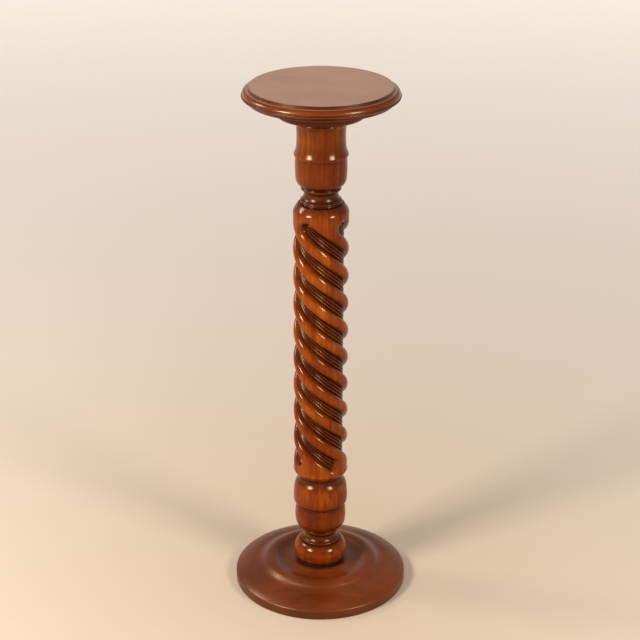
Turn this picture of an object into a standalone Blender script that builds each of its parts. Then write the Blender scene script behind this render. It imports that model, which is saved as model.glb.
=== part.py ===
"""Barley twist pedestal: a turned round base, one turned and carved column, a collar and a round top.

Metres, +Z up. The origin is on the floor, on the axis of the column. Every turned piece is an outline
built from the floor upwards, one member of the turning after another, and spun round Z. The twist of the
column is spun plain and then carved: four left-handed grooves with round heads, three reeds in each.
"""
import math

import bmesh
import bpy

# Fits
JOINT_GAP = 0.0003

# Base board, from its edge inwards
BASE_RADIUS = 0.1658
BASE_WALL_HEIGHT = 0.0184
BASE_ARRIS = 0.0012
BASE_BAND_WIDTH = 0.0361
BASE_BAND_RISE = 0.0126
BASE_BAND_SWELL = 0.0026
BASE_VALLEY_WIDTH = 0.0165
BASE_VALLEY_RISE = 0.0060
BASE_VALLEY_HOLLOW = 0.0012
BASE_RING_WIDTH = 0.0255
BASE_RING_RISE = 0.0055
BASE_RING_SWELL = 0.0042
BASE_HOLLOW_FALL = 0.0055
BASE_HOLLOW_DEPTH = 0.0015
BASE_SEAT_MARGIN = 0.0080
BASE_SEAT_HOLLOW = 0.0006
SEAT_HEIGHT = 0.0400

# Column below the twist, radii and lengths of its members from the seat up
FOOT_RING_RADIUS = 0.0450
FOOT_RING_HEIGHT = 0.0030
BALL_FOOT_RADIUS = 0.0440
BALL_TOP_RADIUS = 0.0400
BALL_HEIGHT = 0.0407
BALL_SWELL = 0.0098
LOW_BEAD_RADIUS = 0.0370
LOW_BEAD_HEIGHT = 0.0048
LOW_BEAD_SWELL = 0.0013
LOW_COVE_RADIUS = 0.0352
LOW_COVE_HEIGHT = 0.0102
LOW_COVE_HOLLOW = 0.0008
LOW_WAIST_RADIUS = 0.0302
LOW_WAIST_HEIGHT = 0.0036
LOW_FILLET_RADIUS = 0.0361
LOW_FLARE_HEIGHT = 0.0050
LOW_FLARE_HOLLOW = 0.0008
LOW_FILLET_HEIGHT = 0.0036
LOW_QUIRK_HEIGHT = 0.0022
LOWER_DRUM_FOOT_RADIUS = 0.0343
LOWER_DRUM_UNDER_RADIUS = 0.0486
LOWER_DRUM_UNDER_HEIGHT = 0.0196
LOWER_DRUM_UNDER_SWELL = 0.0042
LOWER_DRUM_RADIUS = 0.0485
LOWER_DRUM_HEIGHT = 0.0170
LOWER_DRUM_SWELL = 0.0008
LOWER_QUIRK_RADIUS = 0.0444
LOWER_DRUM_SHOULDER = 0.0153
LOWER_SHOULDER_SWELL = 0.0012
UPPER_DRUM_UNDER_RADIUS = 0.0516
UPPER_DRUM_UNDER_HEIGHT = 0.0072
UPPER_DRUM_UNDER_SWELL = 0.0013
UPPER_DRUM_RADIUS = 0.0509
UPPER_DRUM_HEIGHT = 0.0270
UPPER_DRUM_SWELL = 0.0009
UPPER_SHOULDER_RADIUS = 0.0436
UPPER_DRUM_SHOULDER = 0.0190
UPPER_SHOULDER_SWELL = 0.0018
DRUM_FILLET_RADIUS = 0.0424
DRUM_FILLET_HEIGHT = 0.0055
UPPER_QUIRK_RADIUS = 0.0414
UPPER_QUIRK_HEIGHT = 0.0055

# Twist: the band it ends in, the carved length and the bulb it starts from
BAND_FOOT_RADIUS = 0.0445
BAND_UNDER_RADIUS = 0.0522
BAND_UNDER_HEIGHT = 0.0120
BAND_UNDER_SWELL = 0.0010
BAND_HEIGHT = 0.0035
TWIST_RADIUS = 0.0513
CARVED_LENGTH = 0.5150
BULB_HEIGHT = 0.0056
BULB_BEND_RADIUS = 0.0501
BULB_BEND_HEIGHT = 0.0053
BULB_BEND_SWELL = 0.0003
BULB_TOP_RADIUS = 0.0421
BULB_SHOULDER = 0.0114
BULB_SWELL = 0.0004

STARTS = 4
LEAD = 0.2194
GROOVE_PHASE = math.radians(90.0)
GROOVE_PHASE_DROP = 0.0382
HEAD_DROP = 0.0176
END_RISE = 0.0217
GROOVE_DEPTH = 0.0116
REED_HEIGHT = 0.0024
REED_SPACING = 0.0062
GROOVE_HALF_WIDTH = 0.0126
CROWN_DROP = 0.0038

# Column above the twist
HIGH_BEAD_RADIUS = 0.0372
HIGH_BEAD_HEIGHT = 0.0036
HIGH_BEAD_SWELL = 0.0010
HIGH_COVE_RADIUS = 0.0354
HIGH_COVE_HEIGHT = 0.0108
HIGH_COVE_HOLLOW = 0.0008
HIGH_WAIST_RADIUS = 0.0312
HIGH_WAIST_HEIGHT = 0.0030
HIGH_FILLET_RADIUS = 0.0364
HIGH_FLARE_HEIGHT = 0.0056
HIGH_FLARE_HOLLOW = 0.0008
HIGH_FILLET_HEIGHT = 0.0038
HIGH_QUIRK_HEIGHT = 0.0023
CUP_FOOT_RADIUS = 0.0352
CUP_UNDER_RADIUS = 0.0464
CUP_UNDER_HEIGHT = 0.0155
CUP_UNDER_SWELL = 0.0030
CUP_RADIUS = 0.0466
CUP_HEIGHT = 0.0398
CUP_SWELL = 0.0009
RING_FOOT_RADIUS = 0.0476
RING_RADIUS = 0.0486
RING_HEIGHT = 0.0083
RING_SWELL = 0.0014
THROAT_RADIUS = 0.0447
THROAT_HEIGHT = 0.0164
THROAT_HOLLOW = 0.0009
NECK_RADIUS = 0.0451
NECK_HEIGHT = 0.0345
NECK_HOLLOW = 0.0006
NECK_BEAD_RADIUS = 0.0460
NECK_BEAD_HEIGHT = 0.0080
NECK_BEAD_SWELL = 0.0015
NECK_TOP_RADIUS = 0.0456
NECK_TOP_HEIGHT = 0.0087

# Collar under the top
COLLAR_RADIUS = 0.0810
COLLAR_HEIGHT = 0.0262
COLLAR_EDGE = 0.0045

# Top board, from its underside up
TOP_UNDER_RADIUS = 0.1304
TOP_LIP_HEIGHT = 0.0016
TOP_COVE_RADIUS = 0.1392
TOP_COVE_HEIGHT = 0.0068
TOP_COVE_HOLLOW = 0.0009
TOP_RIM_RADIUS = 0.1423
TOP_RIM_HEIGHT = 0.0032
TOP_RIM_SWELL = 0.0006
TOP_OVOLO_RADIUS = 0.1338
TOP_OVOLO_HEIGHT = 0.0103
TOP_OVOLO_SWELL = 0.0018
TOP_LEDGE_RADIUS = 0.1294
TOP_LEDGE_RISE = 0.0004
TOP_FACE_RADIUS = 0.1284
TOP_STEP_HEIGHT = 0.0047

# Fineness of the faceted solids
DISC_STEPS = 40
SPINDLE_STEPS = 24
COLUMNS_PER_START = 12
CARVED_RING_SPACING = 0.0175
END_RING_SPACING = 0.0075
END_RING_COUNT = 4
SPINDLE_OVERLAP = 0.0080
QUIRK_LEDGE = 0.0010
MERGE_DISTANCE = 0.00001


def clear_scene():
    """Remove everything that an earlier run or the default scene left."""
    for item in list(bpy.data.objects):
        bpy.data.objects.remove(item, do_unlink=True)


def new_collection(name):
    """Make a collection under the scene."""
    collection = bpy.data.collections.new(name)
    bpy.context.scene.collection.children.link(collection)
    return collection


def wood(name, colour, roughness):
    """Varnished wood as one Principled material."""
    material = bpy.data.materials.new(name)
    material.use_nodes = True
    shader = material.node_tree.nodes["Principled BSDF"]
    shader.inputs["Base Color"].default_value = (*colour, 1.0)
    shader.inputs["Roughness"].default_value = roughness
    shader.inputs["Metallic"].default_value = 0.0
    return material


def straight(outline, radius, rise):
    """Carry an outline straight on to a radius, a rise above its last point."""
    height = outline[-1][1]
    outline.append((radius, height + rise))


def bow(outline, radius, rise, swell, steps):
    """Carry an outline on along a round arc that stands out by swell, or sinks in where swell is negative."""
    start_radius, start_height = outline[-1]
    across = radius - start_radius
    chord = math.hypot(across, rise)
    half_angle = 2.0 * math.atan(2.0 * swell / chord)
    arc_radius = chord / (2.0 * math.sin(half_angle))
    along = (across / chord, rise / chord)
    outward = (along[1], -along[0])
    middle = (start_radius + across / 2.0, start_height + rise / 2.0)
    sink = arc_radius * math.cos(half_angle)
    for step in range(1, steps + 1):
        angle = half_angle * (2.0 * step / steps - 1.0)
        forward = arc_radius * math.sin(angle)
        out = arc_radius * math.cos(angle) - sink
        outline.append((
            middle[0] + along[0] * forward + outward[0] * out,
            middle[1] + along[1] * forward + outward[1] * out,
        ))


def spun(name, outline, steps, collection, material):
    """Spin an outline, given from the lowest point up, into a turned object that is closed on the axis."""
    lowest = outline[0][1]
    highest = outline[-1][1]
    closed = [(0.0, lowest)] + outline + [(0.0, highest)]
    downward = list(reversed(closed))
    points = [(radius, 0.0, height) for radius, height in downward]
    edges = [(index, index + 1) for index in range(len(points) - 1)]
    mesh = bpy.data.meshes.new(name)
    mesh.from_pydata(points, edges, [])
    mesh.materials.append(material)
    item = bpy.data.objects.new(name, mesh)
    collection.objects.link(item)
    screw = item.modifiers.new("turning", "SCREW")
    screw.axis = "Z"
    screw.angle = 2.0 * math.pi
    screw.steps = steps
    screw.render_steps = steps
    screw.use_merge_vertices = True
    screw.merge_threshold = MERGE_DISTANCE
    screw.use_smooth_shade = True
    return item


def base_outline():
    """Base board: low wall, broad swelling band, valley, raised ring and the hollow round the seat."""
    outline = [(BASE_RADIUS, 0.0)]
    straight(outline, BASE_RADIUS, BASE_WALL_HEIGHT - BASE_ARRIS)
    straight(outline, BASE_RADIUS - BASE_ARRIS, BASE_ARRIS)
    radius = BASE_RADIUS - BASE_ARRIS - BASE_BAND_WIDTH
    bow(outline, radius, BASE_BAND_RISE, BASE_BAND_SWELL, 3)
    radius -= BASE_VALLEY_WIDTH
    bow(outline, radius, BASE_VALLEY_RISE, -BASE_VALLEY_HOLLOW, 2)
    radius -= BASE_RING_WIDTH
    bow(outline, radius, BASE_RING_RISE, BASE_RING_SWELL, 4)
    seat_edge = FOOT_RING_RADIUS + BASE_SEAT_MARGIN
    bow(outline, (radius + seat_edge) / 2.0, -BASE_HOLLOW_FALL, -BASE_HOLLOW_DEPTH, 2)
    bow(outline, seat_edge, SEAT_HEIGHT - outline[-1][1], -BASE_SEAT_HOLLOW, 2)
    return outline


def lower_spindle_outline():
    """Column from its seat to the quirk under the twist: foot ring, ball, beads, waist and two drums."""
    outline = [(FOOT_RING_RADIUS, SEAT_HEIGHT + JOINT_GAP)]
    straight(outline, FOOT_RING_RADIUS, FOOT_RING_HEIGHT)
    straight(outline, BALL_FOOT_RADIUS, 0.0)
    bow(outline, BALL_TOP_RADIUS, BALL_HEIGHT, BALL_SWELL, 6)
    straight(outline, LOW_BEAD_RADIUS, 0.0)
    bow(outline, LOW_BEAD_RADIUS, LOW_BEAD_HEIGHT, LOW_BEAD_SWELL, 2)
    straight(outline, LOW_COVE_RADIUS, 0.0)
    bow(outline, LOW_WAIST_RADIUS, LOW_COVE_HEIGHT, -LOW_COVE_HOLLOW, 3)
    straight(outline, LOW_WAIST_RADIUS, LOW_WAIST_HEIGHT)
    bow(outline, LOW_FILLET_RADIUS, LOW_FLARE_HEIGHT, -LOW_FLARE_HOLLOW, 2)
    straight(outline, LOW_FILLET_RADIUS, LOW_FILLET_HEIGHT)
    straight(outline, LOWER_DRUM_FOOT_RADIUS, LOW_QUIRK_HEIGHT)
    bow(outline, LOWER_DRUM_UNDER_RADIUS, LOWER_DRUM_UNDER_HEIGHT, LOWER_DRUM_UNDER_SWELL, 3)
    bow(outline, LOWER_DRUM_RADIUS, LOWER_DRUM_HEIGHT, LOWER_DRUM_SWELL, 2)
    bow(outline, LOWER_QUIRK_RADIUS, LOWER_DRUM_SHOULDER, LOWER_SHOULDER_SWELL, 2)
    bow(outline, UPPER_DRUM_UNDER_RADIUS, UPPER_DRUM_UNDER_HEIGHT, UPPER_DRUM_UNDER_SWELL, 2)
    bow(outline, UPPER_DRUM_RADIUS, UPPER_DRUM_HEIGHT, UPPER_DRUM_SWELL, 2)
    bow(outline, UPPER_SHOULDER_RADIUS, UPPER_DRUM_SHOULDER, UPPER_SHOULDER_SWELL, 3)
    straight(outline, DRUM_FILLET_RADIUS, DRUM_FILLET_HEIGHT)
    straight(outline, UPPER_QUIRK_RADIUS, UPPER_QUIRK_HEIGHT)
    return outline


def twist_outline(bottom):
    """Plain turning of the twist before it is carved; its rings lie closer where the grooves end."""
    outline = [(BAND_FOOT_RADIUS, bottom)]
    bow(outline, BAND_UNDER_RADIUS, BAND_UNDER_HEIGHT, BAND_UNDER_SWELL, 3)
    straight(outline, TWIST_RADIUS, BAND_HEIGHT)
    carved = []
    end_length = END_RING_SPACING * END_RING_COUNT
    middle = CARVED_LENGTH - 2.0 * end_length
    middle_count = max(1, round(middle / CARVED_RING_SPACING))
    carved += [END_RING_SPACING] * END_RING_COUNT
    carved += [middle / middle_count] * middle_count
    carved += [END_RING_SPACING] * END_RING_COUNT
    for rise in carved:
        straight(outline, TWIST_RADIUS, rise)
    straight(outline, TWIST_RADIUS, BULB_HEIGHT)
    bow(outline, BULB_BEND_RADIUS, BULB_BEND_HEIGHT, BULB_BEND_SWELL, 2)
    bow(outline, BULB_TOP_RADIUS, BULB_SHOULDER, BULB_SWELL, 2)
    return outline


def upper_spindle_outline(bottom):
    """Column from the quirk over the twist to its top: beads, waist, cup, ring, hollow neck and neck bead."""
    outline = [(HIGH_BEAD_RADIUS, bottom)]
    bow(outline, HIGH_BEAD_RADIUS, HIGH_BEAD_HEIGHT, HIGH_BEAD_SWELL, 2)
    bow(outline, HIGH_BEAD_RADIUS, HIGH_BEAD_HEIGHT, HIGH_BEAD_SWELL, 2)
    straight(outline, HIGH_COVE_RADIUS, 0.0)
    bow(outline, HIGH_WAIST_RADIUS, HIGH_COVE_HEIGHT, -HIGH_COVE_HOLLOW, 3)
    straight(outline, HIGH_WAIST_RADIUS, HIGH_WAIST_HEIGHT)
    bow(outline, HIGH_FILLET_RADIUS, HIGH_FLARE_HEIGHT, -HIGH_FLARE_HOLLOW, 2)
    straight(outline, HIGH_FILLET_RADIUS, HIGH_FILLET_HEIGHT)
    straight(outline, CUP_FOOT_RADIUS, HIGH_QUIRK_HEIGHT)
    bow(outline, CUP_UNDER_RADIUS, CUP_UNDER_HEIGHT, CUP_UNDER_SWELL, 3)
    bow(outline, CUP_RADIUS, CUP_HEIGHT, CUP_SWELL, 2)
    straight(outline, RING_FOOT_RADIUS, 0.0)
    bow(outline, RING_RADIUS, RING_HEIGHT, RING_SWELL, 3)
    bow(outline, THROAT_RADIUS, THROAT_HEIGHT, -THROAT_HOLLOW, 2)
    bow(outline, NECK_RADIUS, NECK_HEIGHT, -NECK_HOLLOW, 2)
    straight(outline, NECK_BEAD_RADIUS, 0.0)
    bow(outline, NECK_BEAD_RADIUS, NECK_BEAD_HEIGHT, NECK_BEAD_SWELL, 3)
    straight(outline, NECK_TOP_RADIUS, NECK_TOP_HEIGHT)
    return outline


def column_shares(pitch):
    """Places of the mesh columns across a groove and a strand, as shares of the pitch."""
    reed = REED_SPACING / pitch
    edge = GROOVE_HALF_WIDTH / pitch
    side = [reed * 0.5, reed, reed * 1.5, edge, (edge + 0.5) / 2.0]
    return [0.0] + side + [0.5] + [1.0 - share for share in reversed(side)]


def groove_depth(reach, pitch):
    """Depth of the carving at a distance from a groove's middle: reeds, a steep flank, then the crown."""
    foot = REED_SPACING * 1.5
    if reach <= foot:
        ridge = abs(math.cos(math.pi * reach / REED_SPACING))
        return GROOVE_DEPTH - REED_HEIGHT * ridge
    if reach <= GROOVE_HALF_WIDTH:
        share = (reach - foot) / (GROOVE_HALF_WIDTH - foot)
        return GROOVE_DEPTH + (CROWN_DROP - GROOVE_DEPTH) * share
    if reach < pitch / 2.0:
        share = (pitch / 2.0 - reach) / (pitch / 2.0 - GROOVE_HALF_WIDTH)
        return CROWN_DROP * share * share
    return 0.0


def end_wall(past_end, pitch):
    """Most that the carving may be at a distance past a groove's lower end, which is cut off square."""
    if past_end <= REED_SPACING * 1.5:
        return GROOVE_DEPTH
    return groove_depth(past_end, pitch)


def carve_twist(mesh, carved_bottom, carved_top):
    """Turn the rings of the plain turning along the helix and press the grooves and reeds into them."""
    around = 2.0 * math.pi * TWIST_RADIUS
    slope = around / LEAD
    stretch = math.hypot(1.0, slope)
    pitch = around / STARTS / stretch
    shares = column_shares(pitch)
    head = carved_top - HEAD_DROP
    end = carved_bottom + END_RISE
    phase_height = carved_top - GROOVE_PHASE_DROP
    for vertex in mesh.vertices:
        x, y, height = vertex.co
        radius = math.hypot(x, y)
        if radius < MERGE_DISTANCE:
            continue
        turn = math.atan2(y, x) / (2.0 * math.pi) % 1.0
        column = round(turn * STARTS * COLUMNS_PER_START) % (STARTS * COLUMNS_PER_START)
        start, place = divmod(column, COLUMNS_PER_START)
        share = shares[place]
        centre_turn = GROOVE_PHASE / (2.0 * math.pi) - (height - phase_height) / LEAD
        angle = 2.0 * math.pi * (centre_turn + (start + share) / STARTS) - math.pi / 2.0
        across = (share if share <= 0.5 else share - 1.0) * pitch
        past_head = min(0.0, across * slope - (height - head) * stretch)
        past_end = max(0.0, across * slope - (height - end) * stretch)
        reach = math.hypot(across, past_head)
        carved_radius = radius
        if carved_bottom - MERGE_DISTANCE < height < carved_top + MERGE_DISTANCE:
            carved_radius = radius - min(groove_depth(reach, pitch), end_wall(past_end, pitch))
        vertex.co.x = carved_radius * math.cos(angle)
        vertex.co.y = carved_radius * math.sin(angle)


def flatten_ends(mesh):
    """Make each end of a turning one flat face, without the point on the axis."""
    work = bmesh.new()
    work.from_mesh(mesh)
    poles = [vertex for vertex in work.verts if math.hypot(vertex.co.x, vertex.co.y) < MERGE_DISTANCE]
    bmesh.ops.dissolve_verts(work, verts=poles)
    work.to_mesh(mesh)
    work.free()


def make_column(collection, cutters, material):
    """One post: two plain spindles and the carved twist between them, united into a single solid."""
    lower = lower_spindle_outline()
    twist_bottom = lower[-1][1]
    twist = twist_outline(twist_bottom)
    twist_top = twist[-1][1]
    upper = upper_spindle_outline(twist_top)

    straight(lower, UPPER_QUIRK_RADIUS - QUIRK_LEDGE, 0.0)
    straight(lower, UPPER_QUIRK_RADIUS - QUIRK_LEDGE, SPINDLE_OVERLAP)
    upper.insert(0, (HIGH_BEAD_RADIUS, twist_top - SPINDLE_OVERLAP))

    blank = spun("twist_blank", twist, STARTS * COLUMNS_PER_START, cutters, material)
    bpy.context.view_layer.update()
    evaluated = blank.evaluated_get(bpy.context.evaluated_depsgraph_get())
    mesh = bpy.data.meshes.new_from_object(evaluated)
    mesh.name = "column"
    bpy.data.objects.remove(blank, do_unlink=True)

    carved_bottom = twist_bottom + BAND_UNDER_HEIGHT + BAND_HEIGHT
    carve_twist(mesh, carved_bottom, carved_bottom + CARVED_LENGTH)
    flatten_ends(mesh)

    column = bpy.data.objects.new("column", mesh)
    collection.objects.link(column)
    for name, outline in (("lower_spindle", lower), ("upper_spindle", upper)):
        spindle = spun(name, outline, SPINDLE_STEPS, cutters, material)
        spindle.hide_render = True
        spindle.display_type = "WIRE"
        union = column.modifiers.new("join " + name, "BOOLEAN")
        union.operation = "UNION"
        union.solver = "EXACT"
        union.object = spindle
    return upper[-1][1]


def collar_outline(bottom):
    """Collar: a small disc with rounded edges, clamped between the column and the top."""
    flat = COLLAR_RADIUS - COLLAR_EDGE
    outline = [(flat, bottom)]
    bow(outline, COLLAR_RADIUS, COLLAR_EDGE, COLLAR_EDGE * 0.25, 2)
    straight(outline, COLLAR_RADIUS, COLLAR_HEIGHT - 2.0 * COLLAR_EDGE)
    bow(outline, flat, COLLAR_EDGE, COLLAR_EDGE * 0.25, 2)
    return outline


def top_outline(bottom):
    """Top board: a lip and a cove under the rim, the rim, the ovolo, a ledge and a step up to the flat."""
    outline = [(TOP_UNDER_RADIUS, bottom)]
    straight(outline, TOP_UNDER_RADIUS, TOP_LIP_HEIGHT)
    bow(outline, TOP_COVE_RADIUS, TOP_COVE_HEIGHT, -TOP_COVE_HOLLOW, 2)
    bow(outline, TOP_RIM_RADIUS, TOP_RIM_HEIGHT, TOP_RIM_SWELL, 2)
    bow(outline, TOP_OVOLO_RADIUS, TOP_OVOLO_HEIGHT, TOP_OVOLO_SWELL, 3)
    straight(outline, TOP_LEDGE_RADIUS, TOP_LEDGE_RISE)
    straight(outline, TOP_FACE_RADIUS, TOP_STEP_HEIGHT)
    return outline


def build():
    """Make the four pieces from the floor up."""
    clear_scene()
    parts = new_collection("barley_twist_pedestal")
    cutters = new_collection("cutters")
    satin = wood("base mahogany", (0.165, 0.030, 0.008), 0.42)
    gloss = wood("column mahogany", (0.270, 0.045, 0.006), 0.16)
    dark = wood("collar mahogany", (0.190, 0.032, 0.006), 0.20)
    face = wood("top mahogany", (0.230, 0.060, 0.015), 0.26)

    spun("base", base_outline(), DISC_STEPS, parts, satin)
    column_top = make_column(parts, cutters, gloss)
    collar = collar_outline(column_top + JOINT_GAP)
    spun("top_collar", collar, SPINDLE_STEPS, parts, dark)
    spun("top", top_outline(collar[-1][1] + JOINT_GAP), DISC_STEPS, parts, face)


build()
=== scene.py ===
# %% [markdown]
# # A barley twist pedestal in varnished mahogany
#
# The object is a tall turned stand: a broad round base, a column with a carved rope twist, a small collar
# and a round top with a moulded edge. Everything is in metres, Z is up, the floor is at zero and the
# column's axis is the Z axis.
#
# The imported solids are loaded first. They fix where every piece is and how large it may be. Their faces are
# coarse, so each piece is made again here with fine curves, and the fine piece stands for its solid.

import math

import bpy
import numpy as np
from mathutils import Matrix, Vector


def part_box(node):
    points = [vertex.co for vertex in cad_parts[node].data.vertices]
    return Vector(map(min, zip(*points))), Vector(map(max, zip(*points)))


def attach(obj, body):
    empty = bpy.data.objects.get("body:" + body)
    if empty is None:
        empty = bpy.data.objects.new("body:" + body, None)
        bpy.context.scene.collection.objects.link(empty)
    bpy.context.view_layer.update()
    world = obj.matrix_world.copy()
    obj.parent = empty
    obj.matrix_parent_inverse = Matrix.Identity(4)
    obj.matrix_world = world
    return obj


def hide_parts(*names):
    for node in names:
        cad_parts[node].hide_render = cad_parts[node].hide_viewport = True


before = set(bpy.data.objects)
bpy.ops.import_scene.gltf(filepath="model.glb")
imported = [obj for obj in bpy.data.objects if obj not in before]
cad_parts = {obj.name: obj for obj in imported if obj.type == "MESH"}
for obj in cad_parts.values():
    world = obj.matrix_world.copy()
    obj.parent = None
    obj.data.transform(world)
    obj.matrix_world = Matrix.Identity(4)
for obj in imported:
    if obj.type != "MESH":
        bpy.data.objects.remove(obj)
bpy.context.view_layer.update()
print("solids:", sorted(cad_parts))

# %% [markdown]
# ## Turned outlines
#
# A turner thinks of a post as a row of members: a bead swells out, a cove sinks in, a fillet is a narrow
# straight band. An outline here is built in the same way, as a list of points (radius, height), and each
# member carries it on from its last point. A table of points would be shorter to write, but nobody could
# read a bead out of it or make it a little fuller.

# %% Members of a turning
ARC_STEP = 0.0019
FEWEST_STEPS = 4


def straight(outline, radius, rise):
    """Carry an outline straight on to a radius, a rise above its last point."""
    outline.append((radius, outline[-1][1] + rise))


def bow(outline, radius, rise, swell):
    """Carry an outline on along a round arc that stands out by swell, or sinks in where swell is negative."""
    start_radius, start_height = outline[-1]
    across = radius - start_radius
    chord = math.hypot(across, rise)
    half_angle = 2.0 * math.atan(2.0 * swell / chord)
    arc_radius = chord / (2.0 * math.sin(half_angle))
    along = (across / chord, rise / chord)
    middle = (start_radius + across / 2.0, start_height + rise / 2.0)
    sink = arc_radius * math.cos(half_angle)
    length = 2.0 * half_angle * arc_radius
    steps = max(FEWEST_STEPS, round(length / ARC_STEP))
    for step in range(1, steps + 1):
        angle = half_angle * (2.0 * step / steps - 1.0)
        forward = arc_radius * math.sin(angle)
        out = arc_radius * math.cos(angle) - sink
        outline.append((
            middle[0] + along[0] * forward + along[1] * out,
            middle[1] + along[1] * forward - along[0] * out,
        ))


# %% [markdown]
# A chisel and sandpaper never leave a knife edge, and varnish rounds it further. The thin bright lines on a
# polished moulding are reflections in those small roundings, so each corner of an outline is eased by an arc
# of a few tenths of a millimetre. A bevel modifier could do it, but on the outline it costs a few points
# instead of a whole mesh operation.

# %% Ease the corners of an outline
EASE = 0.0007
EASE_TURN = math.radians(24.0)
EASE_STEPS = 3
EASE_SHARE = 0.45
SUPPORT = 0.0008


def eased(outline):
    """Round every sharp corner of an outline, and put a support point beside each end of a long straight."""
    points = [Vector(point) for point in outline]
    rounded = [points[0]]
    for before, corner, after in zip(points, points[1:], points[2:]):
        arriving = corner - before
        leaving = after - corner
        turn = arriving.angle(leaving, 0.0)
        if turn < EASE_TURN:
            rounded.append(corner)
            continue
        reach = min(EASE, arriving.length * EASE_SHARE, leaving.length * EASE_SHARE)
        start = corner - arriving.normalized() * reach
        end = corner + leaving.normalized() * reach
        for step in range(EASE_STEPS + 1):
            share = step / EASE_STEPS
            rounded.append(start.lerp(corner, share).lerp(corner.lerp(end, share), share))
    rounded.append(points[-1])
    supported = [rounded[0]]
    for near, far in zip(rounded, rounded[1:]):
        gap = (far - near).length
        if gap > 4.0 * SUPPORT:
            supported.append(near.lerp(far, SUPPORT / gap))
            supported.append(far.lerp(near, SUPPORT / gap))
        supported.append(far)
    return [(point.x, point.y) for point in supported]


# %% [markdown]
# ## From outline to wood
#
# Blender's Screw modifier spins an outline, and the solids were made with it. The fine column also needs its
# points moved along the twist, and every piece needs a number on each point that says how much its colour is
# darkened there, partly as glaze and partly as painted shade in grooves, quirks and under other parts. So the
# rings are laid out with numpy: one row of points per place of the outline, one column per step around.

# %% Spin an outline into a mesh
SHARP_TURN = math.radians(40.0)
CENTRE_RADIUS = 0.0100


def recess_of(outline, window, full):
    """How far each point of an upright turning lies below the members beside it, from 0 to 1."""
    radii = np.array([radius for radius, height in outline])
    heights = np.array([height for radius, height in outline])
    found = np.zeros(len(outline))
    for index, (radius, height) in enumerate(outline):
        near = np.abs(heights - height)
        fade = np.clip(1.0 - near / window, 0.0, 1.0)
        found[index] = np.max((radii - radius) * fade ** 0.5)
    return np.clip(found / full, 0.0, 1.0)


def ring_mesh(name, radii, heights, angles, recess):
    """Make a closed mesh from rows of rings; every argument is an array of rings by columns."""
    rings, columns = radii.shape
    points = np.empty((rings * columns + 2, 3))
    points[:-2, 0] = (radii * np.cos(angles)).ravel()
    points[:-2, 1] = (radii * np.sin(angles)).ravel()
    points[:-2, 2] = heights.ravel()
    points[-2] = (0.0, 0.0, heights[0, 0])
    points[-1] = (0.0, 0.0, heights[-1, 0])
    row = np.arange(rings - 1)[:, None] * columns
    here = np.arange(columns)[None, :]
    beside = (here + 1) % columns
    quads = np.stack([row + here, row + beside, row + beside + columns, row + here + columns], axis=-1)
    faces = quads.reshape(-1, 4).tolist()
    low_centre = rings * columns
    high_centre = low_centre + 1
    top_row = (rings - 1) * columns
    for column in range(columns):
        following = (column + 1) % columns
        faces.append((low_centre, following, column))
        faces.append((high_centre, top_row + column, top_row + following))
    mesh = bpy.data.meshes.new(name)
    mesh.from_pydata(points.tolist(), [], faces)
    mesh.shade_smooth()
    mesh.set_sharp_from_angle(angle=SHARP_TURN)
    depth = mesh.attributes.new("recess", "FLOAT", "POINT")
    values = np.zeros(rings * columns + 2)
    values[:-2] = recess.ravel()
    depth.data.foreach_set("value", values)
    piece = bpy.data.objects.new(name, mesh)
    bpy.context.scene.collection.objects.link(piece)
    triangles = sum(len(polygon.vertices) - 2 for polygon in mesh.polygons)
    print(name, "has", triangles, "triangles")
    return piece


def spin(name, outline, columns, recess):
    """Spin a plain outline evenly round the Z axis; recess gives the darkening by glaze and painted shade at
    each point of the outline.
    """
    rings = len(outline)
    turn = np.linspace(0.0, 2.0 * math.pi, columns, endpoint=False)
    radii = np.repeat([[radius] for radius, height in outline], columns, axis=1)
    heights = np.repeat([[height] for radius, height in outline], columns, axis=1)
    glaze_shade_mask = np.repeat(np.array(recess)[:, None], columns, axis=1)
    return ring_mesh(name, radii, heights, np.tile(turn, (rings, 1)), glaze_shade_mask)


# %% [markdown]
# ## The base
#
# The base is one round board, turned on a faceplate: a low upright wall with a broken edge, a broad band
# that swells up from it, a shallow valley, a raised ring, and a dished hollow round the seat of the column.
# The soft changes between these forms are what the light shows, so they are arcs that run into each other.

# %% Base board
JOINT_GAP = 0.0003
BASE_RADIUS = 0.1658
BASE_WALL = 0.0184
BASE_ARRIS = 0.0012
SEAT_HEIGHT = 0.0400
FOOT_RADIUS = 0.0450
FOOT_BREAK = 0.0010
FOOT_SHADE = 0.0035

base_outline = [(BASE_RADIUS - FOOT_BREAK, 0.0)]
straight(base_outline, BASE_RADIUS, FOOT_BREAK)
straight(base_outline, BASE_RADIUS, BASE_WALL - BASE_ARRIS - FOOT_BREAK)
straight(base_outline, BASE_RADIUS - BASE_ARRIS, BASE_ARRIS)
bow(base_outline, 0.1285, 0.0126, 0.0026)  # broad band
bow(base_outline, 0.1120, 0.0060, -0.0012)  # valley
bow(base_outline, 0.0865, 0.0055, 0.0042)  # raised ring
bow(base_outline, 0.06975, -0.0055, -0.0015)  # inner side of the ring
bow(base_outline, 0.0530, SEAT_HEIGHT - base_outline[-1][1], -0.0006)  # hollow round the seat
straight(base_outline, FOOT_RADIUS + 0.0010, 0.0)
straight(base_outline, CENTRE_RADIUS, 0.0)
base_outline = eased(base_outline)
foot_shade = [
    max(0.0, min(1.0, 1.0 - (radius - FOOT_RADIUS) / FOOT_SHADE)) for radius, height in base_outline
]
base_board = spin("base_board", base_outline, 288, foot_shade)

# %% [markdown]
# ## The column's turned members
#
# One long post carries everything between the base and the collar. From the floor up it has a foot ring, a
# ball, a small bead, a narrow waist between two coves, a fine ring and two drums; then comes the twist; above
# it sit two small beads, another waist between coves, a fine ring, a cup, a ring and a hollowed neck under a
# last bead. The lower and the upper rows of members are written out here, each with its name beside it, and
# the carved stretch is fitted between them.

# %% Lower members
FOOT_SETBACK = 0.0016


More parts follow.
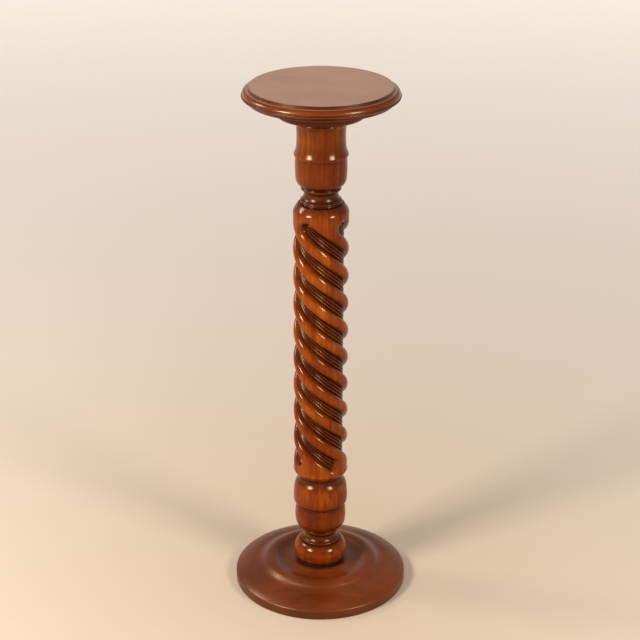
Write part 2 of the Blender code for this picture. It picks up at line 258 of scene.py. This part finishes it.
def lower_members():
    """Outline from the seat on the base to the quirk under the twist."""
    outline = [(FOOT_RADIUS - FOOT_SETBACK, SEAT_HEIGHT + JOINT_GAP)]
    bow(outline, FOOT_RADIUS - FOOT_SETBACK, 0.0030, 0.0004)  # foot ring
    straight(outline, 0.0432, 0.0)
    bow(outline, 0.0400, 0.0407, 0.0098)  # ball
    straight(outline, 0.0366, 0.0)
    bow(outline, 0.0370, 0.0050, 0.0013)  # bead
    straight(outline, 0.0352, 0.0006)
    bow(outline, 0.0302, 0.0080, -0.0008)  # cove in to the waist
    straight(outline, 0.0302, 0.0018)
    bow(outline, 0.0353, 0.0070, -0.0008)  # cove out from the waist
    straight(outline, 0.0360, 0.0005)
    bow(outline, 0.0360, 0.0044, 0.0003)  # fine ring
    straight(outline, 0.0345, 0.0011)  # quirk
    straight(outline, 0.0350, 0.0010)
    bow(outline, 0.0486, 0.0196, 0.0041)  # lower drum's underside
    bow(outline, 0.0485, 0.0170, 0.0008)  # its wall
    bow(outline, 0.0444, 0.0153, 0.0012)  # its shoulder
    bow(outline, 0.0516, 0.0072, 0.0013)  # upper drum's underside
    bow(outline, 0.0509, 0.0270, 0.0009)  # its wall
    bow(outline, 0.0436, 0.0190, 0.0018)  # its shoulder
    bow(outline, 0.0414, 0.0110, -0.0003)  # quirk under the twist
    return outline


# %% Upper members
def upper_members(bottom):
    """Outline from the quirk over the twist to the top of the column."""
    outline = [(0.0372, bottom)]
    bow(outline, 0.0372, 0.0036, 0.0010)  # first bead
    bow(outline, 0.0372, 0.0038, 0.0010)  # second bead
    straight(outline, 0.0354, 0.0011)
    bow(outline, 0.0312, 0.0097, -0.0008)  # cove in to the waist
    straight(outline, 0.0312, 0.0028)
    bow(outline, 0.0358, 0.0051, -0.0008)  # cove out from the waist
    straight(outline, 0.0364, 0.0005)
    bow(outline, 0.0364, 0.0035, 0.0003)  # fine ring
    straight(outline, 0.0356, 0.0006)
    straight(outline, 0.0346, 0.0012)  # quirk
    straight(outline, 0.0355, 0.0014)
    bow(outline, 0.0464, 0.0149, 0.0030)  # cup's underside
    bow(outline, 0.0466, 0.0398, 0.0009)  # cup's wall
    straight(outline, 0.0460, 0.0)
    straight(outline, 0.0476, 0.0006)
    bow(outline, 0.0484, 0.0077, 0.0015)  # ring over the cup
    bow(outline, 0.0447, 0.0164, -0.0009)  # neck's hollow
    bow(outline, 0.0451, 0.0345, -0.0006)  # neck
    bow(outline, 0.0458, 0.0080, 0.0016)  # last bead
    straight(outline, 0.0450, 0.0)
    straight(outline, 0.0456, 0.0087)  # head under the collar
    return outline


# %% [markdown]
# ## The barley twist
#
# Four grooves wind down the column as a left-hand screw, and three small reeds run along the bottom of each.
# The wood between them stands as a thick rounded strand. A carver first turns the plain cylinder, marks the
# four lines, saws and rasps the grooves, and then cuts the reeds with a small gouge. Each groove has a round
# head at its upper end, where the reeds bend round, and a cut end with rounded corners at its lower one.
#
# The same order is followed here. The rings of the plain cylinder are turned little by little so that the
# columns of the mesh run along the grooves, and each point is then pressed in by a depth that depends only on
# its distance from the nearest groove's middle line. At the head that line stops, so the distance to its end
# point bends the reeds round by itself, and at the lower end a wall is cut across. A displacement texture
# would blur reeds that are only a few millimetres wide, while mesh columns that follow them keep them crisp.

# %% Sizes of the twist
STARTS = 4
LEAD = 0.2194
TWIST_RADIUS = 0.0513
CARVED_LENGTH = 0.5150
HEAD_DROP = 0.0176
GROOVE_PHASE_DROP = 0.0382
END_RISE = 0.0217
GROOVE_DEPTH = 0.0116
GROOVE_HALF = 0.0126
REED_SPACING = 0.0062
REED_HEIGHT = 0.0024
REEDS_HALF = REED_SPACING * 1.5
CROWN_DROP = 0.0038
REED_CURVE = 0.8
FLANK_CURVE = 0.85
CROWN_CURVE = 2.2
HEAD_SQUEEZE = 0.35
END_ROUND = 0.0055

around = 2.0 * math.pi * TWIST_RADIUS
slope = around / LEAD
stretch = math.hypot(1.0, slope)
pitch = around / STARTS / stretch
print("groove and strand together are", round(pitch * 1000, 1), "mm wide across the twist")


# %% Depth of the carving
def groove_depth(reach, short=0.0):
    """Depth at a distance from a groove's middle line: round reeds, a steep flank, the strand's crown."""
    reed_reach = reach * (1.0 + short)
    ridge = np.abs(np.cos(math.pi * reed_reach / REED_SPACING)) ** REED_CURVE
    reeds = np.where(reed_reach <= REEDS_HALF, GROOVE_DEPTH - REED_HEIGHT * ridge, GROOVE_DEPTH)
    share = np.clip((reach - REEDS_HALF) / (GROOVE_HALF - REEDS_HALF), 0.0, 1.0)
    flank = GROOVE_DEPTH + (CROWN_DROP - GROOVE_DEPTH) * share ** FLANK_CURVE
    rest = np.clip((pitch / 2.0 - reach) / (pitch / 2.0 - GROOVE_HALF), 0.0, 1.0)
    crown = CROWN_DROP * rest ** CROWN_CURVE
    return np.where(reach <= REEDS_HALF, reeds, np.where(reach <= GROOVE_HALF, flank, crown))


# %% Places of the mesh columns across one groove and strand
REED_COLUMNS = 12
FLANK_COLUMNS = 4
CROWN_COLUMNS = 6

half_across = np.concatenate([
    np.linspace(0.0, REEDS_HALF, REED_COLUMNS, endpoint=False),
    np.linspace(REEDS_HALF, GROOVE_HALF, FLANK_COLUMNS, endpoint=False),
    np.linspace(GROOVE_HALF, pitch / 2.0, CROWN_COLUMNS, endpoint=False),
])
across_one = np.concatenate([half_across, [pitch / 2.0], -half_across[:0:-1]])
across = np.tile(across_one, STARTS)
start_turn = np.repeat(np.arange(STARTS) / STARTS, len(across_one))
share_turn = across / pitch / STARTS
share_turn = np.where(across < 0.0, share_turn + 1.0 / STARTS, share_turn)
column_turn = start_turn + share_turn
print("columns round the column:", len(across))

# %% Fit the twist between the turned members
FINE_END = 0.036
FINE_SPACING = 0.0013
WIDE_SPACING = 0.0036

lower = lower_members()
quirk_height = lower[-1][1]
band = [lower[-1]]
straight(band, 0.0445, 0.0)
bow(band, 0.0522, 0.0120, 0.0010)
straight(band, TWIST_RADIUS, 0.0035)
carved_bottom = band[-1][1]
carved_top = carved_bottom + CARVED_LENGTH
spacings = np.concatenate([
    np.arange(0.0, FINE_END, FINE_SPACING),
    np.arange(FINE_END, CARVED_LENGTH - FINE_END, WIDE_SPACING),
    np.arange(CARVED_LENGTH - FINE_END, CARVED_LENGTH, FINE_SPACING),
])
twist = [(TWIST_RADIUS, carved_bottom + rise) for rise in spacings]
twist.append((TWIST_RADIUS, carved_top))
bulb = [(TWIST_RADIUS, carved_top)]
straight(bulb, TWIST_RADIUS, 0.0056)
bow(bulb, 0.0500, 0.0053, 0.00034)
bow(bulb, 0.0420, 0.0114, 0.00035)
upper = upper_members(bulb[-1][1])
below = eased(lower + band[1:])
above = eased(bulb[1:] + upper)
column_outline = below + twist[1:] + above
print("column from", round(column_outline[0][1], 4), "to", round(column_outline[-1][1], 4))

# %% Carve the column
plain_radius = np.array([radius for radius, height in column_outline])
height_of = np.array([height for radius, height in column_outline])
head = carved_top - HEAD_DROP
end = carved_bottom + END_RISE
phase_height = carved_top - GROOVE_PHASE_DROP
turned_height = np.clip(height_of, carved_bottom, carved_top)
centre_turn = 0.25 - (turned_height - phase_height) / LEAD
angles = 2.0 * math.pi * (centre_turn[:, None] + column_turn[None, :]) - math.pi / 2.0
past_head = np.minimum(0.0, across[None, :] * slope - (height_of[:, None] - head) * stretch)
end_round = END_ROUND * (np.abs(across) / GROOVE_HALF) ** 2.0
past_end = across * slope + end_round
past_end = np.maximum(0.0, past_end[None, :] - (height_of[:, None] - end) * stretch)
reach = np.hypot(across[None, :], past_head)
inside = (height_of > carved_bottom) & (height_of < carved_top)
end_wall = np.where(past_end <= REEDS_HALF, GROOVE_DEPTH, groove_depth(past_end))
short = HEAD_SQUEEZE * (past_head / np.maximum(reach, 0.0001)) ** 2.0
carving = np.where(inside[:, None], np.minimum(groove_depth(reach, short), end_wall), 0.0)
radii = plain_radius[:, None] - carving
heights = np.repeat(height_of[:, None], len(across), axis=1)
print("deepest carving:", round(float(carving.max()) * 1000, 2), "mm")

# %% [markdown]
# The colour is darkened where a rag can't reach and where shade falls. In quirks a few millimetres wide, in
# the broad hollows of the waists, deep in the grooves and in the valleys between the reeds this is partly
# glaze and partly painted shade; under the twist, under the collar and round the foot it is painted shade.
# Each of these gives a share of the darkening, and the shares are added up and kept to one. Ambient occlusion
# could find the hollows by itself, but a person couldn't say then how dark each of them is.

# %% Glaze and painted shade in the recesses of the column
# Darkening weights: glaze and painted shade in quirks, hollows, grooves and reed valleys; painted shade under
# the twist, under the collar and round the foot.
NARROW_WINDOW, NARROW_FULL, NARROW_GLAZE_SHADE = 0.0050, 0.0060, 0.60
BROAD_WINDOW, BROAD_FULL, BROAD_GLAZE_SHADE = 0.0260, 0.0085, 0.60
SHOULDER_FADE, SHOULDER_SHADE = 0.0250, 0.45
END_FADE, COLLAR_SHADE_WEIGHT, FOOT_SHADE_WEIGHT = 0.0110, 0.5, 0.9
UPPER_DARKENING_HEIGHTS, UPPER_DARKENINGS = (-0.0300, 0.0100, 0.0600), (0.0, 0.19, 0.34)
CARVED_DEPTHS, CARVED_GLAZE_SHADES = (0.0004, CROWN_DROP, 0.0090), (0.0, 0.50, 0.66)
VALLEY_GLAZE_SHADE = 0.32

narrow = recess_of(column_outline, NARROW_WINDOW, NARROW_FULL)
broad = recess_of(column_outline, BROAD_WINDOW, BROAD_FULL)
below_band = (height_of - quirk_height) / SHOULDER_FADE
shoulder = np.where(below_band <= 0.0, np.clip(1.0 + below_band, 0.0, 1.0), 0.0)
collar_shade = np.clip((height_of - column_outline[-1][1] + END_FADE) / END_FADE, 0.0, 1.0)
column_foot_shade = np.clip((SEAT_HEIGHT + END_FADE - height_of) / END_FADE, 0.0, 1.0)
# The upper members are darker from the top of the twist upwards.
upper_darkening = np.interp(height_of - carved_top, UPPER_DARKENING_HEIGHTS, UPPER_DARKENINGS)
member_recess = NARROW_GLAZE_SHADE * narrow + BROAD_GLAZE_SHADE * broad + SHOULDER_SHADE * shoulder
member_recess = member_recess + COLLAR_SHADE_WEIGHT * collar_shade + FOOT_SHADE_WEIGHT * column_foot_shade + upper_darkening
member_recess = np.clip(member_recess, 0.0, 1.0)
quirks = np.repeat(member_recess[:, None], len(across), axis=1)
valley = np.clip((carving - GROOVE_DEPTH + REED_HEIGHT) / REED_HEIGHT, 0.0, 1.0)
carved_recess = np.interp(carving, CARVED_DEPTHS, CARVED_GLAZE_SHADES) + VALLEY_GLAZE_SHADE * valley
column_recess = np.maximum(carved_recess, quirks * (~inside[:, None]))
twist_column = ring_mesh("twist_column", radii, heights, angles, column_recess)

# %% [markdown]
# ## Collar and top
#
# The collar is a small board that spreads the column's head under the top. The top is a round board with a
# moulded edge: a lip and a cove lead out from the underside to the rim, over a notch an ovolo leads back in
# to a quirk and a narrow ledge, and a small step rises to the flat where a vase or a lamp stands.

# %% Collar
COLLAR_RADIUS = 0.0810
COLLAR_EDGE = 0.0045
COLLAR_WALL = 0.0172
COLLAR_SWELL = COLLAR_EDGE * 0.25
collar = [(COLLAR_RADIUS - COLLAR_EDGE, column_outline[-1][1] + JOINT_GAP)]
bow(collar, COLLAR_RADIUS, COLLAR_EDGE, COLLAR_SWELL)
straight(collar, COLLAR_RADIUS, COLLAR_WALL)
bow(collar, COLLAR_RADIUS - COLLAR_EDGE, COLLAR_EDGE, COLLAR_SWELL)
collar = eased(collar)
collar_board = spin("collar_board", collar, 192, [0.0] * len(collar))

# %% Top board
TOP_UNDER_RADIUS = 0.1304
STEP_DROP = 0.0053
STEP_RADII = (0.1281, 0.1285, 0.1300, 0.1312, 0.1320, 0.1334)
STEP_SHADES = (0.0, 0.85, 0.45, 0.35, 1.0, 0.9)
EDGE_DROPS = (0.0056, 0.0075, 0.0120, 0.0143, 0.0149, 0.0154, 0.0162, 0.0184, 0.0192, 0.0240, 0.0256)
EDGE_SHADES = (0.6, 0.15, 0.2, 0.6, 1.0, 1.0, 0.2, 0.3, 0.9, 0.9, 0.4)

top = [(TOP_UNDER_RADIUS, collar[-1][1] + JOINT_GAP)]
straight(top, TOP_UNDER_RADIUS, 0.0016)  # lip
bow(top, 0.1386, 0.0062, -0.0009)  # cove
straight(top, 0.1404, 0.0004)
bow(top, 0.1416, 0.0036, 0.0009)  # rim
straight(top, 0.1403, 0.0005)  # notch
bow(top, 0.1338, 0.0093, 0.0021)  # ovolo
straight(top, 0.1320, 0.0)  # quirk
bow(top, 0.1294, 0.0006, -0.0002)  # ledge
straight(top, 0.1286, 0.0044)  # step
straight(top, 0.1280, 0.0004)
straight(top, CENTRE_RADIUS, 0.0)  # flat
top = eased(top)
top_height = top[-1][1]
top_shade = []
for radius, height in top:
    step = np.interp(radius, STEP_RADII, STEP_SHADES)
    edge = np.interp(top_height - height, EDGE_DROPS, EDGE_SHADES)
    top_shade.append(float(step if height > top_height - STEP_DROP else edge))
top_board = spin("top_board", top, 288, top_shade)

# %% [markdown]
# ## Writing shader maths as sums
#
# A wood finish is built from many small sums of masks, and a row of hand-linked Math nodes hides what is
# worked out. The class below wraps one socket. Adding, multiplying or subtracting two of them puts the Math
# node in the tree, so a formula in the code reads like a formula. Colours never go through those sums,
# because a Math node turns a colour grey: they are mixed by a Mix node.

# %% A socket that can be used in sums
class Wire:
    """One output socket of a shader tree, or a plain number, that takes part in sums."""

    def __init__(self, tree, socket):
        self.tree = tree
        self.socket = socket

    def maths(self, operation, *others, clamp=False):
        """Add a Math node with this wire first and the others after it."""
        node = self.tree.nodes.new("ShaderNodeMath")
        node.operation = operation
        node.use_clamp = clamp
        for index, value in enumerate((self, *others)):
            if isinstance(value, Wire):
                self.tree.links.new(value.socket, node.inputs[index])
            else:
                node.inputs[index].default_value = value
        return Wire(self.tree, node.outputs[0])

    def __add__(self, other):
        return self.maths("ADD", other)

    def __radd__(self, other):
        return self.maths("ADD", other)

    def __sub__(self, other):
        return self.maths("SUBTRACT", other)

    def __rsub__(self, other):
        return self.maths("MULTIPLY_ADD", -1.0, other)

    def __mul__(self, other):
        return self.maths("MULTIPLY", other)

    def __rmul__(self, other):
        return self.maths("MULTIPLY", other)

    def __pow__(self, other):
        return self.maths("POWER", other)

    def clamped(self):
        """Keep the value between 0 and 1."""
        return self.maths("ADD", 0.0, clamp=True)


# %% One place where nodes are made
class Finish:
    """The node tree of a material or a world under construction, with the shader that it feeds."""

    def __init__(self, owner, shader):
        self.owner = owner
        self.owner.use_nodes = True
        self.tree = self.owner.node_tree
        self.shader = self.tree.nodes[shader]

    def node(self, kind, settings, sockets, output=0):
        """Add a node: its settings first, then values or wires for its sockets; returns one output."""
        made = self.tree.nodes.new(kind)
        for key, value in settings.items():
            if key == "stops":
                self.set_stops(made.color_ramp, value)
            else:
                setattr(made, key, value)
        for key, value in sockets.items():
            if isinstance(value, Wire):
                self.tree.links.new(value.socket, made.inputs[key])
            else:
                made.inputs[key].default_value = value
        return Wire(self.tree, made.outputs[output])

    def set_stops(self, ramp, stops):
        """Give a colour ramp its stops as (place, colour)."""
        while len(ramp.elements) < len(stops):
            ramp.elements.new(1.0)
        for element, (place, colour) in zip(ramp.elements, stops):
            element.position = place
            element.color = (*colour, 1.0)

    def set(self, **sockets):
        """Set or link the shader's own sockets, with _ for a space in their names."""
        for key, value in sockets.items():
            socket = self.shader.inputs[key.replace("_", " ")]
            if isinstance(value, Wire):
                self.tree.links.new(value.socket, socket)
            else:
                socket.default_value = value


# %% [markdown]
# ## Grain
#
# Mahogany has broad soft bands of lighter and darker wood and, on top of them, thousands of short dark pores
# that all run one way. Both are noise stretched along the grain. The column's grain runs up the post, and
# the boards' grain runs level, so the stretch is given with the finish.

# %% Noise helpers
def stretched(finish, scale):
    """Object coordinates, scaled differently along each axis."""
    place = finish.node("ShaderNodeTexCoord", {}, {}, "Object")
    return finish.node("ShaderNodeVectorMath", {"operation": "MULTIPLY"}, {0: place, 1: scale})


def noise(finish, where, scale, detail=3.0, rough=0.55, twist=0.0):
    """Noise from 0 to 1 at scaled coordinates."""
    return finish.node(
        "ShaderNodeTexNoise",
        {},
        {"Vector": where, "Scale": scale, "Detail": detail, "Roughness": rough, "Distortion": twist},
        "Fac",
    )


def sharpened(value, low, high):
    """Stretch the part of a mask between two values to the whole range."""
    return ((value - low) * (1.0 / (high - low))).clamped()


def blend(finish, factor, first, second):
    """Mix two colours by a mask."""
    return finish.node("ShaderNodeMix", {"data_type": "RGBA"}, {0: factor, 6: first, 7: second}, 2)


# %% [markdown]
# ## Varnished mahogany
#
# From the wood outwards the finish has the grain's own colours, an uneven red-brown stain, a darker colour in
# the grooves, quirks and hollows that is partly a glaze wiped off the crests and partly painted shade, and
# varnish. The varnish is one weak gloss layer with a warm tint, because a clear coat over wood this dark
# mirrors the pale surroundings as a milky veil. The same darkening mask dulls it a little where it is strong.
# Only the flat of the top has a coat as well, and there the wood is painted a paler tan where it faces up:
# painted light from above.

# %% Build one mahogany finish
BAND_NOISE = 75.0
STREAK_NOISE = 260.0
PORE_NOISE = 1100.0
STAIN_NOISE = 9.0
FLECK_NOISE = 60.0
BAND_STRETCH = 0.94
PORE_STRETCH = 0.975
PORE_DARKNESS = 0.35
# Colours painted on flats that face up, as painted light from above.
LIT_FLAT_DARK = (0.240, 0.102, 0.042, 1.0)
LIT_FLAT_LIGHT = (0.370, 0.170, 0.076, 1.0)
VARNISH_TINT = (1.0, 0.76, 0.48, 1.0)
COAT_ROUGHNESS = 0.22


def mahogany(
    name, along, colours, glaze_and_shade_colour, glaze_and_shade_strength, rough, gloss, contrast, grain_relief, coat=0.0, lit_flat_paling=0.0
):
    """Mahogany with its grain along one axis, stained, darkened by glaze and painted shade in its recesses,
    painted paler on flats that face up when lit_flat_paling is set, and varnished.
    """
    finish = Finish(bpy.data.materials.new(name), "Principled BSDF")
    broad_place = stretched(finish, [1.0 - BAND_STRETCH * part for part in along])
    pore_place = stretched(finish, [1.0 - PORE_STRETCH * part for part in along])
    even_place = stretched(finish, (1.0, 1.0, 1.0))

    bands = noise(finish, broad_place, BAND_NOISE, 4.0, 0.6, 0.9)
    streaks = noise(finish, broad_place, STREAK_NOISE, 3.0, 0.6)
    pores = sharpened(noise(finish, pore_place, PORE_NOISE, 2.0, 0.5), 0.58, 0.74)
    stain = noise(finish, even_place, STAIN_NOISE, 3.0, 0.5)
    flecks = noise(finish, even_place, FLECK_NOISE, 4.0, 0.6)

    tone = 0.5 + (bands - 0.5) * (1.5 * contrast) + (streaks - 0.5) * (0.8 * contrast)
    tone = (tone + (stain - 0.5) * 1.5 + (flecks - 0.5) * 0.35).clamped()
    dark, middle, light = colours
    wood = finish.node(
        "ShaderNodeValToRGB",
        {"stops": [(0.12, dark), (0.5, middle), (0.9, light)]},
        {"Fac": tone},
    )
    wood = blend(finish, pores * 0.30, wood, (*[value * PORE_DARKNESS for value in dark], 1.0))

    # The mesh's darkening mask: partly glaze, partly painted shade in quirks, hollows, grooves and under
    # parts.
    recess = finish.node("ShaderNodeAttribute", {"attribute_name": "recess"}, {}, "Fac")
    glaze_shade_mask = (recess + (flecks - 0.5) * (recess * 0.30)).clamped()
    wood = blend(finish, (glaze_shade_mask * glaze_and_shade_strength).clamped(), wood, (*glaze_and_shade_colour, 1.0))

    # Flats that face up are painted paler: painted light from above.
    if lit_flat_paling:
        normal = finish.node("ShaderNodeNewGeometry", {}, {}, "Normal")
        upward = finish.node("ShaderNodeSeparateXYZ", {}, {"Vector": normal}, 2)
        flat = sharpened(upward, 0.93, 0.995)
        wood = blend(finish, flat * lit_flat_paling, wood, blend(finish, tone, LIT_FLAT_DARK, LIT_FLAT_LIGHT))
        finish.set(Coat_Weight=(flat * coat).clamped(), Coat_Roughness=COAT_ROUGHNESS)

    dulling = glaze_shade_mask * 0.17 + (flecks - 0.5) * 0.06 + pores * 0.05
    height = (1.0 - pores) * 0.5 + streaks * 0.25
    relief = finish.node(
        "ShaderNodeBump", {}, {"Strength": 0.05 * grain_relief, "Distance": 0.0004, "Height": height}
    )
    waviness = finish.node(
        "ShaderNodeBump",
        {},
        {"Strength": 0.018, "Distance": 0.0010, "Height": flecks, "Normal": relief},
    )
    finish.set(Base_Color=wood, Roughness=(rough + dulling).clamped(), Normal=waviness)
    finish.set(Specular_IOR_Level=gloss, Specular_Tint=VARNISH_TINT)
    print(name, "uses", len(finish.tree.nodes), "nodes")
    return finish.owner


# %% The four finishes
column_finish = mahogany(
    "varnished_column_mahogany",
    along=(0.0, 0.0, 1.0),
    colours=((0.072, 0.0078, 0.0003), (0.134, 0.0190, 0.0004), (0.225, 0.0500, 0.0016)),
    glaze_and_shade_colour=(0.0165, 0.0024, 0.0004),
    glaze_and_shade_strength=0.96,
    rough=0.10,
    gloss=0.22,
    contrast=0.75,
    grain_relief=0.12,
)
base_finish = mahogany(
    "satin_base_mahogany",
    along=(1.0, 0.0, 0.0),
    colours=((0.046, 0.0062, 0.0004), (0.074, 0.0112, 0.0008), (0.108, 0.0190, 0.0020)),
    glaze_and_shade_colour=(0.0055, 0.0007, 0.0003),
    glaze_and_shade_strength=0.98,
    rough=0.33,
    gloss=0.46,
    contrast=0.35,
    grain_relief=0.6,
)
collar_finish = mahogany(
    "varnished_collar_mahogany",
    along=(1.0, 0.0, 0.0),
    colours=((0.036, 0.0044, 0.0008), (0.070, 0.0100, 0.0015), (0.105, 0.0180, 0.0028)),
    glaze_and_shade_colour=(0.0065, 0.0008, 0.0002),
    glaze_and_shade_strength=0.95,
    rough=0.16,
    gloss=0.20,
    contrast=0.6,
    grain_relief=0.8,
)
top_finish = mahogany(
    "varnished_top_mahogany",
    along=(1.0, 0.0, 0.0),
    colours=((0.060, 0.0085, 0.0010), (0.105, 0.0175, 0.0022), (0.150, 0.0310, 0.0045)),
    glaze_and_shade_colour=(0.0090, 0.0012, 0.0004),
    glaze_and_shade_strength=0.95,
    rough=0.20,
    gloss=0.26,
    coat=0.75,
    lit_flat_paling=0.60,
    contrast=0.6,
    grain_relief=0.8,
)

# %% [markdown]
# ## Fitting the pieces to the model
#
# Each fine piece rides on the model's one body, takes its finish and stands for the coarse solid it was made
# after.

# %% Hand the pieces over
for piece, node, slot, finish in (
    (base_board, "base", "base_wood", base_finish),
    (twist_column, "column", "column_wood", column_finish),
    (collar_board, "top_collar", "collar_wood", collar_finish),
    (top_board, "top", "top_wood", top_finish),
):
    piece.data.materials.append(finish)
    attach(piece, "root")
    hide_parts(node)
    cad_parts[node].data.materials.clear()
    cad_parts[node].data.materials.append(finish)
    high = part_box(node)[1]
    own = [piece.matrix_world @ vertex.co for vertex in piece.data.vertices]
    print(piece.name, "top", round(max(point.z for point in own), 4), "solid", round(high.z, 4))

# %% [markdown]
# ## A pale studio
#
# The floor is one plain pale disc, warm near the stand, that glows more and more towards its far edge. The
# world starts at the horizon with the same cream and darkens upwards, so that the wood has something to
# mirror. Glossy wood is drawn by what it mirrors: two soft boxes in front, left and right of the camera, make
# the paired highlights on the beads and the strokes on the strands, and a smaller one on the left, a little
# behind the stand, lights the edge.

# %% Floor
FLOOR_RADIUS = 40.0
FLOOR_SIDES = 96
FLOOR_DROP = 0.0002
CREAM = (0.86, 0.77, 0.70)
UPPER_CREAM = (0.46, 0.42, 0.38)

floor_mesh = bpy.data.meshes.new("floor")
floor_points = [
    (FLOOR_RADIUS * math.cos(turn), FLOOR_RADIUS * math.sin(turn), 0.0)
    for turn in np.linspace(0.0, 2.0 * math.pi, FLOOR_SIDES, endpoint=False)
]
floor_mesh.from_pydata(floor_points, [], [list(range(FLOOR_SIDES))])
floor = bpy.data.objects.new("floor", floor_mesh)
bpy.context.scene.collection.objects.link(floor)
floor.location.z = -FLOOR_DROP

pale = Finish(bpy.data.materials.new("pale_floor"), "Principled BSDF")
place = pale.node("ShaderNodeTexCoord", {}, {}, "Object")
distance = pale.node("ShaderNodeVectorMath", {"operation": "LENGTH"}, {0: place}, 1)
far = sharpened(distance, 0.4, 2.6)
mottle = noise(pale, place, 7.0, 3.0)
warm = blend(pale, mottle, (0.352, 0.274, 0.200, 1.0), (0.372, 0.291, 0.216, 1.0))
glow = (distance * 0.2).clamped() ** 0.75 * 0.84
pale.set(Base_Color=blend(pale, far, warm, (0.375, 0.320, 0.272, 1.0)), Roughness=0.5 + mottle * 0.1)
pale.set(Emission_Color=blend(pale, glow, (0.0, 0.0, 0.0, 1.0), (*CREAM, 1.0)))
pale.set(Specular_IOR_Level=0.2, Emission_Strength=1.0)
floor_mesh.materials.append(pale.owner)
print("floor of radius", FLOOR_RADIUS, "m with", len(pale.tree.nodes), "nodes")

# %% World and lights
AIM_HEIGHT = 0.5
LAMP_COLOUR = (1.0, 0.95, 0.89)

studio = Finish(bpy.data.worlds.new("studio"), "Background")
bpy.context.scene.world = studio.owner
direction = studio.node("ShaderNodeTexCoord", {}, {}, "Generated")
lift_of_ray = studio.node("ShaderNodeSeparateXYZ", {}, {"Vector": direction}, 2)
sky = studio.node(
    "ShaderNodeValToRGB", {"stops": [(0.04, CREAM), (0.34, UPPER_CREAM)]}, {"Fac": lift_of_ray}
)
studio.set(Color=sky, Strength=1.0)


def soft_box(name, azimuth, elevation, distance, size, power):
    """An area light at an azimuth from the front, positive to the right, that faces the column."""
    data = bpy.data.lights.new(name, "AREA")
    data.shape = "RECTANGLE"
    data.size, data.size_y = size
    data.energy = power
    data.color = LAMP_COLOUR
    light = bpy.data.objects.new(name, data)
    turn = math.radians(azimuth)
    lift = math.radians(elevation)
    away = Vector((math.sin(turn) * math.cos(lift), -math.cos(turn) * math.cos(lift), math.sin(lift)))
    light.location = Vector((0.0, 0.0, AIM_HEIGHT)) + away * distance
    light.rotation_mode = "QUATERNION"
    light.rotation_quaternion = (-away).to_track_quat("-Z", "Y")
    bpy.context.scene.collection.objects.link(light)
    print(name, "at", [round(value, 2) for value in light.location], "with", power, "W")


soft_box("left_front_box", -53.0, 28.3, 2.95, (0.74, 0.80), 134.0)
soft_box("right_front_box", 49.0, 28.3, 2.95, (0.74, 0.80), 86.0)
soft_box("left_edge_box", -104.0, 33.0, 2.62, (0.50, 0.60), 30.0)

# %% [markdown]
# ## The camera
#
# The camera stands about three metres away, at about the height of a standing person's eyes, and looks down
# by some 24 degrees. A long lens keeps the column's sides nearly parallel. It leans by about a tenth of a
# degree, as a hand-held camera does.

# %% Camera
CAMERA_PLACE = (-0.00152, -2.979, 1.863)
LOOK_DOWN = 23.79
CAMERA_LEAN = 0.118
FOCAL_LENGTH = 98.44
SENSOR_WIDTH = 36.0

lens = bpy.data.cameras.new("camera")
lens.sensor_width = SENSOR_WIDTH
lens.lens = FOCAL_LENGTH
lens.clip_end = 200.0
camera = bpy.data.objects.new("camera", lens)
tilt = Matrix.Rotation(math.radians(90.0 - LOOK_DOWN), 4, "X")
lean = Matrix.Rotation(math.radians(CAMERA_LEAN), 4, "Z")
camera.matrix_world = Matrix.Translation(CAMERA_PLACE) @ tilt @ lean
bpy.context.scene.collection.objects.link(camera)
bpy.context.scene.camera = camera
bpy.context.scene.view_settings.view_transform = "Standard"
print("camera looks down by", LOOK_DOWN, "degrees through a", FOCAL_LENGTH, "mm lens")
